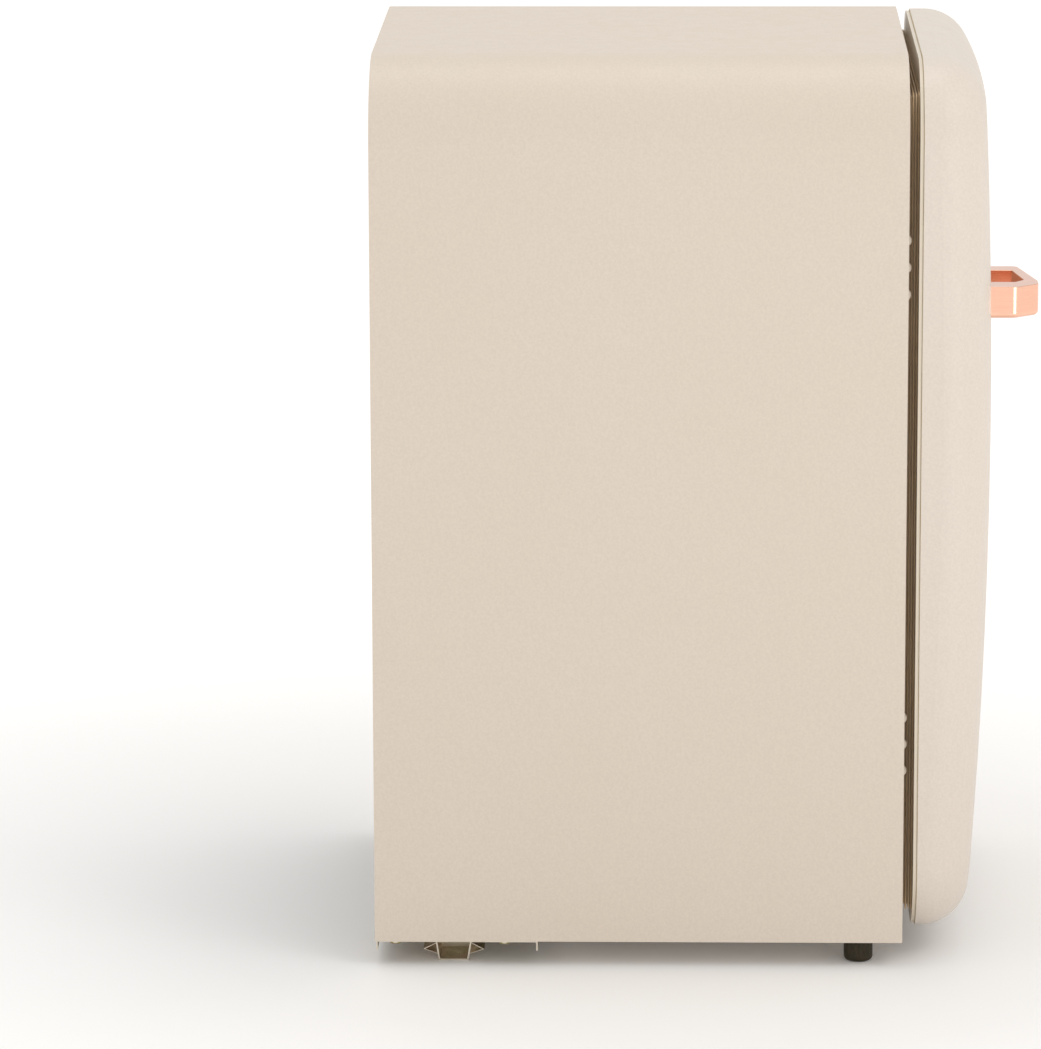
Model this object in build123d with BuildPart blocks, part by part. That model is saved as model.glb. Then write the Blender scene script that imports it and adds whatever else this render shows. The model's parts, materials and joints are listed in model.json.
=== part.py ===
"""Retro mini fridge with a crowned, round-cornered door, built as separate pieces.

Millimetres, +Z up, the door faces -Y and is hung on the right, at +X.
The origin is on the floor, under the middle of the closed fridge with its handle.
"""

import math
import os

from build123d import *

os.makedirs("parts", exist_ok=True)

# ---------------------------------------------------------------- driving dimensions
WIDTH = 487.0
CABINET_HEIGHT = 821.0
CABINET_DEPTH = 490.0
OVERALL_DEPTH = 611.6  # back of the cabinet to the front of the handle
FOOT_HEIGHT = 24.0  # floor to the cabinet's lower edge
CORNER = 76.0  # outer corners of the cabinet's top and of the door, seen from the front

STEEL = 1.0  # painted sheet
LINER = 2.0  # formed plastic wall
SLIP = 0.2  # gap that keeps neighbouring pieces of one body apart

SIDE_WALL = 45.0  # outside of the cabinet to the inside of the compartment
FLANGE = 36.0  # width of the steel front flange at the sides
TOP_FLANGE = 44.0
RAIL = 43.0  # height of the bottom front rail

BAY_DEPTH = 161.0  # compressor bay, from the back
BAY_HEIGHT = 218.0
WALL = 43.0  # insulation around the bay
COMPARTMENT_ROUND = 20.0  # long edges of the food compartment
STEP_ROUND = 4.0  # the same edges on top of the step

DOOR_GAP = 9.5  # cabinet face to the door liner's rim
RIM = 3.0  # thickness of the door liner
SEAM = 0.7  # dark line between the rim and the door skin
DOOR_DEPTH = 68.2  # door skin's rear edge to the top of its crown
CROWN_RADIUS = 6000.0
DOOR_HEIGHT = CABINET_HEIGHT - 2.0
CROWN_HEIGHT = 480.0  # height of the crown's centre over the door's lower edge
DOOR_ROUND = 45.0  # rounding from the door's sides to its front
DOOR_SKIN = 1.2

HINGE_PITCH = 446.0  # height between the two hinges
SCREW_PITCH = 25.0
HINGE_SCREW_X = 232.0
PIN_RADIUS = 1.9
KNUCKLE_RADIUS = 3.3

# ---------------------------------------------------------------- places worked out from them
SIDE = WIDTH / 2
BASE = FOOT_HEIGHT
TOP = BASE + CABINET_HEIGHT
MIDDLE = BASE + CABINET_HEIGHT / 2
DOOR_MIDDLE = BASE + DOOR_HEIGHT / 2
BACK = OVERALL_DEPTH / 2
FACE = BACK - CABINET_DEPTH  # front plane of the cabinet

INNER = SIDE - SIDE_WALL  # half the width of the compartment
CEILING = TOP - 48.0
FLOOR = BASE + 57.0
REAR_WALL = BACK - SIDE_WALL
BAY_FRONT = BACK - BAY_DEPTH - STEEL
BAY_TOP = BASE + BAY_HEIGHT
STEP_FRONT = BAY_FRONT - WALL
STEP_TOP = BAY_TOP + WALL

REAR_HEM = 2.0  # the rear panel and its screws stay inside the wrap's rear edge
PANEL_Y = BACK - REAR_HEM - STEEL  # rear face of the rear panel

RIM_REAR = FACE - DOOR_GAP
RIM_FRONT = RIM_REAR - RIM
SKIN_REAR = RIM_FRONT - SEAM

FOOT_X = SIDE - 30.0
FOOT_Y = BACK - 450.0

HINGE_HEIGHTS = (MIDDLE - HINGE_PITCH / 2, MIDDLE + HINGE_PITCH / 2)
SCREW_STEPS = (-SCREW_PITCH, 0.0, SCREW_PITCH)
PIN_X = SIDE - KNUCKLE_RADIUS
PIN_Y = FACE - DOOR_GAP / 2

made = {}


def write(builder, label):
    """Labels a finished piece and writes its STEP file."""
    builder.part.label = label
    made[label] = builder.part
    export_step(builder.part, f"parts/{label}.step")


def span(x, y, z, mode=Mode.ADD):
    """A box between two limits along each axis."""
    with Locations(((x[0] + x[1]) / 2, (y[0] + y[1]) / 2, (z[0] + z[1]) / 2)):
        Box(x[1] - x[0], y[1] - y[0], z[1] - z[0], mode=mode)


def front_plane(y):
    """Sketch plane facing the front at depth y: local x is X, local y is Z, extrusion runs to -Y."""
    return Plane.XZ.offset(-y)


def cabinet_outline(side_inset, top_inset, low, radius):
    """Front view of the cabinet: square corners at the bottom, round ones at the top."""
    high = TOP - top_inset
    with Locations((0, (low + high) / 2)):
        Rectangle(2 * (SIDE - side_inset), high - low)
    fillet(vertices().group_by(Axis.Y)[-1], radius)


def compartment(grow):
    """The food compartment's space with its step over the compressor bay, grown by a wall."""
    front = FACE if grow else FACE - 1
    with BuildPart() as space:
        with BuildSketch(Plane.YZ.offset(-(INNER + grow))):
            with BuildLine():
                Polyline(
                    (front, FLOOR - grow),
                    (STEP_FRONT + grow, FLOOR - grow),
                    (STEP_FRONT + grow, STEP_TOP - grow),
                    (REAR_WALL + grow, STEP_TOP - grow),
                    (REAR_WALL + grow, CEILING + grow),
                    (front, CEILING + grow),
                    close=True,
                )
            make_face()
        extrude(amount=2 * (INNER + grow))
        long_edges = space.edges().filter_by(Axis.Y)
        step_edges = long_edges.filter_by_position(Axis.Z, STEP_TOP - grow - 1, STEP_TOP - grow + 1)
        fillet(long_edges - step_edges, COMPARTMENT_ROUND + grow)
        long_edges = space.edges().filter_by(Axis.Y)
        step_edges = long_edges.filter_by_position(Axis.Z, STEP_TOP - grow - 1, STEP_TOP - grow + 1)
        outer_edges = step_edges.filter_by(lambda edge: abs(abs(edge.center().X) - INNER - grow) < 1)
        fillet(outer_edges, STEP_ROUND + grow)
    return space.part


# ---------------------------------------------------------------- cabinet shell
PLATE = 1.5
PLATE_TAB = 8.0
PLATE_HALF = SIDE - 2.5
PRESSED_FOOT_END = SIDE - 20.0
PLATE_SCREW_X = SIDE - 9.0
PLATE_BACK = BACK - 1.0
PLATE_FRONT = BACK - 151.5
PLATE_SCREW_YS = (PLATE_FRONT + 31, PLATE_BACK - 18)
REAR_RETURN = 12.0
BOTTOM_RETURN = 24.0
PLUG_HOLE = 2.1
REAR_SCREW_HEIGHTS = (BAY_TOP + 20, BAY_TOP + 210, BAY_TOP + 400, TOP - 90)

with BuildPart() as cabinet_wrap:
    with BuildSketch(front_plane(BACK)):
        cabinet_outline(0, 0, BASE, CORNER)
    extrude(amount=CABINET_DEPTH)
    with BuildSketch(front_plane(PANEL_Y)):
        cabinet_outline(STEEL, STEEL, BASE + STEEL, CORNER - STEEL)
    extrude(amount=PANEL_Y - FACE - STEEL, mode=Mode.SUBTRACT)
    with BuildSketch(front_plane(BACK)):
        cabinet_outline(STEEL, STEEL, BASE - 1, CORNER - STEEL)
    extrude(amount=REAR_HEM, mode=Mode.SUBTRACT)
    with BuildSketch(front_plane(BACK)):
        cabinet_outline(REAR_RETURN, REAR_RETURN, BASE - 1, CORNER - REAR_RETURN)
    extrude(amount=REAR_HEM + STEEL + 1, mode=Mode.SUBTRACT)
    with BuildSketch(front_plane(FACE + STEEL + 1)):
        cabinet_outline(FLANGE, TOP_FLANGE, BASE - 1, CORNER - TOP_FLANGE)
    extrude(amount=STEEL + 2, mode=Mode.SUBTRACT)
    half_window = SIDE - BOTTOM_RETURN
    span((-half_window, half_window), (FACE + STEEL, BACK + 1), (BASE - 1, BASE + STEEL + 1), Mode.SUBTRACT)
    with BuildSketch(front_plane(FACE + STEEL + 1)):
        for height in HINGE_HEIGHTS:
            for step in SCREW_STEPS:
                with Locations((-HINGE_SCREW_X, height + step), (HINGE_SCREW_X, height + step)):
                    Circle(PLUG_HOLE)
    extrude(amount=STEEL + 2, mode=Mode.SUBTRACT)
    with BuildSketch(front_plane(BACK)):
        for height in REAR_SCREW_HEIGHTS:
            with Locations((-SIDE + 7, height), (SIDE - 7, height)):
                Circle(1.9)
    extrude(amount=REAR_HEM + STEEL + 1, mode=Mode.SUBTRACT)
    for x in (-PLATE_SCREW_X, PLATE_SCREW_X):
        with Locations(*[(x, y, BASE) for y in PLATE_SCREW_YS]):
            Cylinder(2.2, 10, mode=Mode.SUBTRACT)
write(cabinet_wrap, "cabinet_wrap")

with BuildPart() as bottom_front_rail:
    half = SIDE - FLANGE - SLIP
    span((-half, half), (FACE, FACE + STEEL), (BASE, BASE + RAIL))
    span((-half, half), (FACE + STEEL, FACE + 28), (BASE, BASE + STEEL))
    fillet(bottom_front_rail.edges().filter_by(Axis.X).sort_by(Axis.Y)[:1], 0.5)
write(bottom_front_rail, "bottom_front_rail")

with BuildPart() as bottom_panel:
    half = SIDE - STEEL - SLIP
    span((-half, half), (FACE + STEEL + SLIP, BAY_FRONT - SLIP), (BASE + STEEL, BASE + 2 * STEEL))
    for y in (-90, -30, 30, 90):
        span((-150, 150), (y - 4, y + 4), (BASE + STEEL - 0.8, BASE + STEEL))
    with Locations((-FOOT_X, FOOT_Y, BASE), (FOOT_X, FOOT_Y, BASE)):
        Cylinder(6.2, 8, mode=Mode.SUBTRACT)
write(bottom_panel, "bottom_panel")

with BuildPart() as rear_panel:
    low = BAY_TOP + 2 * STEEL
    with BuildSketch(front_plane(PANEL_Y)):
        cabinet_outline(STEEL + SLIP, STEEL + SLIP, low, CORNER - STEEL - SLIP)
    extrude(amount=STEEL)
    # two shallow pressed stiffening fields, recessed towards the foam
    for z0, z1 in ((low + 40, low + 250), (low + 290, low + 500)):
        span((-170, 170), (PANEL_Y - 0.45, PANEL_Y + 1), (z0, z1), Mode.SUBTRACT)
    with BuildSketch(front_plane(BACK)):
        for height in REAR_SCREW_HEIGHTS:
            with Locations((-SIDE + 7, height), (SIDE - 7, height)):
                Circle(1.9)
    extrude(amount=6, mode=Mode.SUBTRACT)
write(rear_panel, "rear_panel")

with BuildPart() as bay_panel:
    half = SIDE - STEEL - SLIP
    span((-half, half), (BAY_FRONT, BAY_FRONT + STEEL), (BASE + STEEL, BAY_TOP + STEEL))
    span((-half, half), (BAY_FRONT, PANEL_Y - STEEL - SLIP), (BAY_TOP, BAY_TOP + STEEL))
    fillet(bay_panel.edges().filter_by(Axis.X).group_by(Axis.Z)[-1].sort_by(Axis.Y)[:1], 0.9)
write(bay_panel, "bay_panel")

# ---------------------------------------------------------------- liner, foam and condenser
SHELF_HEIGHTS = (395.0, 505.0)  # undersides of the two glass shelves
COVER_HEIGHT = STEP_TOP + 6.0  # underside of the glass over the crisper
SHELF_FRONT = FACE + 98.0
SHELF_BACK = REAR_WALL - 8.0
LEDGE = 9.0
TRAY_HEIGHT = 640.0  # underside of the drip tray's side rails

liner_outside = compartment(LINER)
liner_inside = compartment(0)
foam_inside = compartment(LINER + SLIP)

with BuildPart() as inner_liner:
    add(liner_outside)
    with BuildSketch(front_plane(FACE + LINER)):
        cabinet_outline(FLANGE + SLIP, TOP_FLANGE + SLIP, BASE + RAIL + SLIP, CORNER - TOP_FLANGE - SLIP)
    extrude(amount=LINER)
    add(liner_inside, mode=Mode.SUBTRACT)
    for height in (*SHELF_HEIGHTS, TRAY_HEIGHT):
        for side in (-1, 1):
            ledge = sorted((side * (INNER - LEDGE), side * (INNER + 1)))
            span(ledge, (SHELF_FRONT + 15, REAR_WALL - 20), (height - 9, height))
    for side in (-1, 1):
        ledge = sorted((side * (INNER - LEDGE), side * (INNER + 1)))
        span(ledge, (SHELF_FRONT + 15, STEP_FRONT - 10), (COVER_HEIGHT - 9, COVER_HEIGHT))
write(inner_liner, "inner_liner")

COIL_POCKET = 5.6
COIL_FRONT = FACE + 45
COIL_BACK = BACK - 40
COIL_LOW = STEP_TOP + 5
COIL_HIGH = TOP - CORNER - 15

with BuildPart() as cabinet_foam:
    with BuildSketch(front_plane(PANEL_Y - STEEL - SLIP)):
        inset = STEEL + SLIP
        cabinet_outline(inset, inset, BASE + 2 * STEEL + SLIP, CORNER - inset)
    extrude(amount=PANEL_Y - STEEL - SLIP - (FACE + LINER + SLIP))
    add(foam_inside, mode=Mode.SUBTRACT)
    span((-SIDE, SIDE), (BAY_FRONT - SLIP, BACK), (0, BAY_TOP + STEEL + SLIP), Mode.SUBTRACT)
    for side in (-1, 1):
        pocket = sorted((side * (SIDE - STEEL - COIL_POCKET), side * SIDE))
        span(pocket, (COIL_FRONT - 8, COIL_BACK + 8), (COIL_LOW - 8, COIL_HIGH + 8), Mode.SUBTRACT)
        for height in HINGE_HEIGHTS:
            screw_field = (height - SCREW_PITCH - 5, height + SCREW_PITCH + 5)
            pocket = sorted((side * (HINGE_SCREW_X - 4), side * (HINGE_SCREW_X + 4)))
            span(pocket, (FACE, FACE + 20), screw_field, Mode.SUBTRACT)
    with Locations((-FOOT_X, FOOT_Y, BASE + 15), (FOOT_X, FOOT_Y, BASE + 15)):
        Cylinder(12, 40, mode=Mode.SUBTRACT)
write(cabinet_foam, "cabinet_foam")

COIL_RADIUS = 2.38
COIL_RUNS = 7


def condenser_coil(side):
    """Serpentine tube on the inner face of one side panel."""
    x = side * (SIDE - STEEL - COIL_RADIUS - SLIP)
    pitch = (COIL_HIGH - COIL_LOW) / (COIL_RUNS - 1)
    points = []
    for run in range(COIL_RUNS):
        ends = (COIL_FRONT, COIL_BACK) if run % 2 == 0 else (COIL_BACK, COIL_FRONT)
        height = COIL_LOW + run * pitch
        points += [(x, ends[0], height), (x, ends[1], height)]
    with BuildPart() as coil:
        with BuildLine() as route:
            FilletPolyline(*points, radius=pitch * 0.45)
        with BuildSketch(Plane(origin=points[0], z_dir=(0, 1, 0))):
            Circle(COIL_RADIUS)
        sweep(path=route.wires()[0])
    return coil


write(condenser_coil(-1), "condenser_coil_left")
write(condenser_coil(1), "condenser_coil_right")

# ---------------------------------------------------------------- cold parts inside
ICEBOX_HALF = 165.0
ICEBOX_LOW = 684.0
ICEBOX_HIGH = 786.0
ICEBOX_FRONT = FACE + 103.0
ICEBOX_BACK = 205.0
ALUMINIUM = 1.6

with BuildPart() as evaporator_box:
    span((-ICEBOX_HALF, ICEBOX_HALF), (ICEBOX_FRONT, ICEBOX_BACK), (ICEBOX_LOW, ICEBOX_HIGH))
    fillet(evaporator_box.edges().filter_by(Axis.Y), 10)
    offset(amount=-ALUMINIUM, openings=evaporator_box.faces().sort_by(Axis.Y)[0])
    # refrigerant passages blown into the sheet: ridges under the box
    for lane in range(6):
        y = ICEBOX_FRONT + 30 + lane * 44
        span((-140, 140), (y - 4, y + 4), (ICEBOX_LOW - 1.4, ICEBOX_LOW + 0.2))
    for lane in range(5):
        y = ICEBOX_FRONT + 30 + lane * 44
        edge = 136 if lane % 2 else -136
        span((edge - 4, edge + 4), (y, y + 44), (ICEBOX_LOW - 1.4, ICEBOX_LOW + 0.2))
write(evaporator_box, "evaporator_box")

FRAME_HALF = 178.0
FRAME_LOW = 674.0
FRAME_HIGH = CEILING - SLIP
FRAME_FRONT = ICEBOX_FRONT - 12.0
FLAP_PIN_X = 161.0
FLAP_THICK = 9.0
FLAP_REAR = FRAME_FRONT - 1.0
FLAP_FRONT = FLAP_REAR - FLAP_THICK
FLAP_PIN_Y = FLAP_REAR - FLAP_THICK / 2
FLAP_LOW = FRAME_LOW + 8.0
FLAP_HIGH = FRAME_HIGH - 8.0
STUB_RADIUS = 2.4

with BuildPart() as icebox_frame:
    span((-FRAME_HALF, FRAME_HALF), (FRAME_FRONT, ICEBOX_FRONT - SLIP), (FRAME_LOW, FRAME_HIGH))
    span((-152, 152), (FRAME_FRONT - 1, ICEBOX_FRONT + 1), (ICEBOX_LOW + 5, ICEBOX_HIGH - 5), Mode.SUBTRACT)
    for z0, z1 in ((FRAME_LOW, FLAP_LOW - 1), (FLAP_HIGH + 1, FRAME_HIGH)):
        ear = (FLAP_PIN_X - 7, FLAP_PIN_X + 7)
        span(ear, (FLAP_PIN_Y - 5.5, FRAME_FRONT + 0.5), (z0, z1))
        with Locations((FLAP_PIN_X, FLAP_PIN_Y, (z0 + z1) / 2)):
            Cylinder(STUB_RADIUS + 0.1, z1 - z0 + 2, mode=Mode.SUBTRACT)
write(icebox_frame, "icebox_frame")

with BuildPart() as icebox_flap:
    flap_left = -158.0
    flap_right = FLAP_PIN_X + 4.4
    span((flap_left, flap_right), (FLAP_FRONT, FLAP_REAR), (FLAP_LOW, FLAP_HIGH))
    fillet(icebox_flap.edges().filter_by(Axis.Z).group_by(Axis.X)[-1], 4.3)
    span((flap_left + 5, 148), (FLAP_REAR - 6, FLAP_REAR + 1), (FLAP_LOW + 5, FLAP_HIGH - 5), Mode.SUBTRACT)
    # raised finger pull along the free edge
    span((flap_left, flap_left + 14), (FLAP_FRONT - 6, FLAP_FRONT), (FLAP_LOW + 25, FLAP_HIGH - 25))
    fillet(icebox_flap.edges().filter_by(Axis.Z).sort_by(Axis.Y)[:2], 2.4)
    for z in (FLAP_LOW, FLAP_HIGH):
        with Locations((FLAP_PIN_X, FLAP_PIN_Y, z)):
            Cylinder(STUB_RADIUS, 11)
write(icebox_flap, "icebox_flap")

TRAY_WALL = 2.0
with BuildPart() as drip_tray:
    rail = INNER - 1.5
    body = INNER - LEDGE - 3
    deep = 14.0
    span((-rail, rail), (ICEBOX_FRONT, SHELF_BACK), (TRAY_HEIGHT + SLIP, TRAY_HEIGHT + 3))
    span((-body, body), (ICEBOX_FRONT, SHELF_BACK), (TRAY_HEIGHT - deep, TRAY_HEIGHT + 3))
    body -= TRAY_WALL
    inside = (ICEBOX_FRONT + TRAY_WALL, SHELF_BACK - TRAY_WALL)
    span((-body, body), inside, (TRAY_HEIGHT - deep + TRAY_WALL, TRAY_HEIGHT + 4), Mode.SUBTRACT)
    span((-60, 60), (ICEBOX_FRONT - 7, ICEBOX_FRONT), (TRAY_HEIGHT - 2, TRAY_HEIGHT + 3))
write(drip_tray, "drip_tray")

GLASS = 4.0
SHELF_HALF = INNER - 2.0


def glass_plate(height, label):
    """A toughened glass plate that rests on the liner's ledges."""
    with BuildPart() as plate:
        front, back = SHELF_FRONT + 6, SHELF_BACK - 6
        span((-SHELF_HALF, SHELF_HALF), (front, back), (height + SLIP, height + SLIP + GLASS))
        fillet(plate.edges().filter_by(Axis.Z), 6)
    write(plate, label)


def shelf_trims(height, label):
    """The plastic edge strips that clip over a plate's front and rear edges."""
    grip = 9.0
    rise = 16.0
    low, high = height + SLIP - 3, height + SLIP + GLASS + 3
    with BuildPart() as trims:
        span((-SHELF_HALF + 9, SHELF_HALF - 9), (SHELF_FRONT, SHELF_FRONT + 6 + grip), (low, high))
        span((-SHELF_HALF + 9, SHELF_HALF - 9), (SHELF_BACK - 6 - grip, SHELF_BACK), (low, high + rise))
        front, back = SHELF_FRONT + 6 - SLIP, SHELF_BACK - 6 + SLIP
        glass_low, glass_high = height + SLIP / 2, height + 1.5 * SLIP + GLASS
        span((-SIDE, SIDE), (front, back), (glass_low, glass_high), Mode.SUBTRACT)
        lip = SHELF_BACK - 6 - grip
        span((-SIDE, SIDE), (lip - 1, SHELF_BACK - 3), (high, high + rise + 1), Mode.SUBTRACT)
        fillet(trims.edges().filter_by(Axis.X).group_by(Axis.Y)[0], 2)
    write(trims, label)


for name, height in (("lower_shelf", SHELF_HEIGHTS[0]), ("upper_shelf", SHELF_HEIGHTS[1])):
    glass_plate(height, name + "_glass")
    shelf_trims(height, name + "_trims")
glass_plate(COVER_HEIGHT, "crisper_cover_glass")
shelf_trims(COVER_HEIGHT, "crisper_cover_trims")

CRISPER_HALF = 186.0
CRISPER_FRONT = FACE + 100.0
CRISPER_BACK = STEP_FRONT - 8.0
CRISPER_LOW = FLOOR + 1.0
CRISPER_HIGH = COVER_HEIGHT - 12.0
CRISPER_WALL = 2.5

with BuildPart() as crisper_drawer:
    span((-CRISPER_HALF, CRISPER_HALF), (CRISPER_FRONT, CRISPER_BACK), (CRISPER_LOW, CRISPER_HIGH))
    fillet(crisper_drawer.edges().filter_by(Axis.Z), 14)
    fillet(crisper_drawer.edges().group_by(Axis.Z)[0], 8)
    offset(amount=-CRISPER_WALL, openings=crisper_drawer.faces().sort_by(Axis.Z)[-1])
    # turned-out pull along the top of the front wall
    pull = (CRISPER_FRONT - 5, CRISPER_FRONT + 1)
    span((-80, 80), pull, (CRISPER_HIGH - 12, CRISPER_HIGH))
    fillet(crisper_drawer.edges().filter_by(Axis.Z).sort_by(Axis.Y)[:2], 3)
write(crisper_drawer, "crisper_drawer")

# ---------------------------------------------------------------- thermostat and lamp
BOX_WALL = INNER - SLIP  # the side wall the box is fixed to
BOX_FACE = BOX_WALL - 30.0  # the face with the knob and the lens
BOX_FRONT = -75.0
BOX_BACK = 75.0
BOX_LOW = 558.0
BOX_HIGH = 612.0
KNOB_Y = -38.0
KNOB_Z = (BOX_LOW + BOX_HIGH) / 2
KNOB_RADIUS = 17.0
SPINDLE = 3.0
LENS_Y = 28.0

with BuildPart() as thermostat_housing:
    span((BOX_FACE, BOX_WALL), (BOX_FRONT, BOX_BACK), (BOX_LOW, BOX_HIGH))
    fillet(thermostat_housing.faces().sort_by(Axis.X)[0].edges(), 7)
    shell = 2.2
    span(
        (BOX_FACE + shell, BOX_WALL + 1),
        (BOX_FRONT + shell, BOX_BACK - shell),
        (BOX_LOW + shell, BOX_HIGH - shell),
        Mode.SUBTRACT,
    )
    with Locations(Location((BOX_FACE, KNOB_Y, KNOB_Z), (0, 90, 0))):
        Cylinder(SPINDLE + 0.6, 10, mode=Mode.SUBTRACT)
    span(
        (BOX_FACE - 1, BOX_FACE + 5),
        (LENS_Y - 36.5, LENS_Y + 36.5),
        (KNOB_Z - 15.5, KNOB_Z + 15.5),
        Mode.SUBTRACT,
    )
write(thermostat_housing, "thermostat_housing")

with BuildPart() as thermostat_knob:
    skirt = BOX_FACE - 0.6
    with BuildSketch(Plane(origin=(skirt, KNOB_Y, KNOB_Z), x_dir=(0, 1, 0), z_dir=(-1, 0, 0))):
        Circle(KNOB_RADIUS)
    extrude(amount=4)
    with BuildSketch(Plane(origin=(skirt - 4, KNOB_Y, KNOB_Z), x_dir=(0, 1, 0), z_dir=(-1, 0, 0))):
        Circle(KNOB_RADIUS - 3)
        grips = 14
        with PolarLocations(KNOB_RADIUS - 2.6, grips):
            Circle(1.7, mode=Mode.SUBTRACT)
    extrude(amount=9)
    with BuildSketch(Plane(origin=(skirt, KNOB_Y, KNOB_Z), x_dir=(0, 1, 0), z_dir=(1, 0, 0))):
        Circle(SPINDLE)
    extrude(amount=8)
    # pointer groove towards the top
    span((skirt - 14, skirt - 12), (KNOB_Y - 0.8, KNOB_Y + 0.8), (KNOB_Z + 3, KNOB_Z + 15), Mode.SUBTRACT)
write(thermostat_knob, "thermostat_knob")

with BuildPart() as thermostat_body:
    span((BOX_WALL - 18, BOX_WALL - 4), (KNOB_Y - 18, KNOB_Y + 18), (KNOB_Z - 16, KNOB_Z + 16))
    fillet(thermostat_body.edges().filter_by(Axis.X), 3)
write(thermostat_body, "thermostat_body")

with BuildPart() as lamp_lens:
    span(
        (BOX_FACE - 1.5, BOX_FACE + 1.5),
        (LENS_Y - 36, LENS_Y + 36),
        (KNOB_Z - 15, KNOB_Z + 15),
    )
    fillet(lamp_lens.faces().sort_by(Axis.X)[0].edges(), 1.2)
    for rib in range(-8, 9):
        y = LENS_Y + rib * 4
        span(
            (BOX_FACE - 2, BOX_FACE - 0.9),
            (y - 0.7, y + 0.7),
            (KNOB_Z - 11, KNOB_Z + 11),
            Mode.SUBTRACT,
        )
write(lamp_lens, "lamp_lens")

with BuildPart() as lamp_board:
    span((BOX_FACE + 8, BOX_FACE + 9.6), (LENS_Y - 30, LENS_Y + 30), (KNOB_Z - 11, KNOB_Z + 11))
    for led in (-20, 0, 20):
        span(
            (BOX_FACE + 6.6, BOX_FACE + 8),
            (LENS_Y + led - 2, LENS_Y + led + 2),
            (KNOB_Z - 2, KNOB_Z + 2),
        )
write(lamp_board, "lamp_board")

# ---------------------------------------------------------------- compressor bay
REAR_FOOT_Y = BACK - 72.5
FOOT_TOP_HALF = 17.8
FOOT_LOW_HALF = 13.9
FLARE_REACH = 13.0
FLARE_HIGH = 15.5
FLARE_TIP = 9.2
FLARE_LOW = 4.5
COMPRESSOR_X = 35.0
COMPRESSOR_Y = BACK - 79.0
GROMMETS = [(COMPRESSOR_X + dx, COMPRESSOR_Y + dy) for dx in (-82, 82) for dy in (-48, 48)]


def foot_profile(grow, flare):
    """End view of a pressed foot, with its side walls folded outwards by flare."""
    top, low = FOOT_TOP_HALF - grow, FOOT_LOW_HALF - grow
    slope = (top - low) / BASE
    right = [
        (low, grow),
        (low + FLARE_LOW * slope, FLARE_LOW),
        (low + FLARE_TIP * slope + flare, FLARE_TIP),
        (low + FLARE_HIGH * slope, FLARE_HIGH),
        (top, BASE + 1),
    ]
    left = [(-reach, height) for reach, height in reversed(right)]
    with BuildLine() as profile:
        Polyline(*[(REAR_FOOT_Y + reach, height) for reach, height in right + left], close=True)
    make_face(profile.edges())


with BuildPart() as compressor_plate:
    under = BASE - PLATE
    span((-PLATE_HALF, PLATE_HALF), (PLATE_FRONT, PLATE_BACK), (under, BASE))
    span((-PLATE_HALF, PLATE_HALF), (PLATE_FRONT, PLATE_FRONT + PLATE), (under - PLATE_TAB, under))
    span((-PLATE_HALF, PLATE_HALF), (PLATE_BACK - PLATE, PLATE_BACK), (under - PLATE_TAB, under))
    for side in (-1, 1):
        # the bright open end, then the flared trough behind it
        outside = ((PRESSED_FOOT_END, 6.0, 0.0), (PRESSED_FOOT_END - 6, 38.0, FLARE_REACH))
        inside = ((PRESSED_FOOT_END + 6, 12.0, 0.0), (PRESSED_FOOT_END - 6, 36.5, FLARE_REACH))
        for lengths, grow, mode in ((outside, 0.0, Mode.ADD), (inside, PLATE, Mode.SUBTRACT)):
            for start, length, flare in lengths:
                plane = Plane(origin=(side * start, 0, 0), x_dir=(0, 1, 0), z_dir=(1, 0, 0))
                with BuildSketch(plane):
                    foot_profile(grow, flare)
                extrude(amount=-side * length, mode=mode)
    span((-SIDE, SIDE), (PLATE_FRONT - 1, PLATE_BACK + 1), (BASE, BASE + 5), Mode.SUBTRACT)
    with Locations(*[(x, y, BASE) for x, y in GROMMETS]):
        Cylinder(5.2, 10, mode=Mode.SUBTRACT)
    for x in (-PLATE_SCREW_X, PLATE_SCREW_X):
        with Locations(*[(x, y, BASE) for y in PLATE_SCREW_YS]):
            Cylinder(2.2, 10, mode=Mode.SUBTRACT)
write(compressor_plate, "compressor_plate")

CAN_LONG = 74.0
CAN_WIDE = 56.0
CAN_LOW = BASE + 22.0
CAN_SEAM = BASE + 92.0
CAN_HIGH = BASE + 172.0
with BuildPart() as compressor_can:
    with BuildSketch(Plane.XY.offset(CAN_LOW)):
        with Locations((COMPRESSOR_X, COMPRESSOR_Y)):
            Ellipse(CAN_LONG, CAN_WIDE)
    extrude(amount=CAN_SEAM - CAN_LOW)
    fillet(compressor_can.edges().group_by(Axis.Z)[0], 30)
    with BuildSketch(Plane.XY.offset(CAN_SEAM)):
        with Locations((COMPRESSOR_X, COMPRESSOR_Y)):
            Ellipse(CAN_LONG - 2, CAN_WIDE - 2)
    extrude(amount=CAN_HIGH - CAN_SEAM)
    fillet(compressor_can.edges().group_by(Axis.Z)[-1], 30)
    with BuildSketch(Plane.XY.offset(CAN_SEAM - 4)):
        with Locations((COMPRESSOR_X, COMPRESSOR_Y)):
            Ellipse(CAN_LONG + 2.5, CAN_WIDE + 2.5)
    extrude(amount=6)
    # sealed void that stands for the space round the pump
    with BuildSketch(Plane.XY.offset(CAN_LOW + 14)):
        with Locations((COMPRESSOR_X, COMPRESSOR_Y)):
            Ellipse(CAN_LONG - 15, CAN_WIDE - 15)
    extrude(amount=CAN_HIGH - CAN_LOW - 28, mode=Mode.SUBTRACT)
write(compressor_can, "compressor_can")

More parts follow.
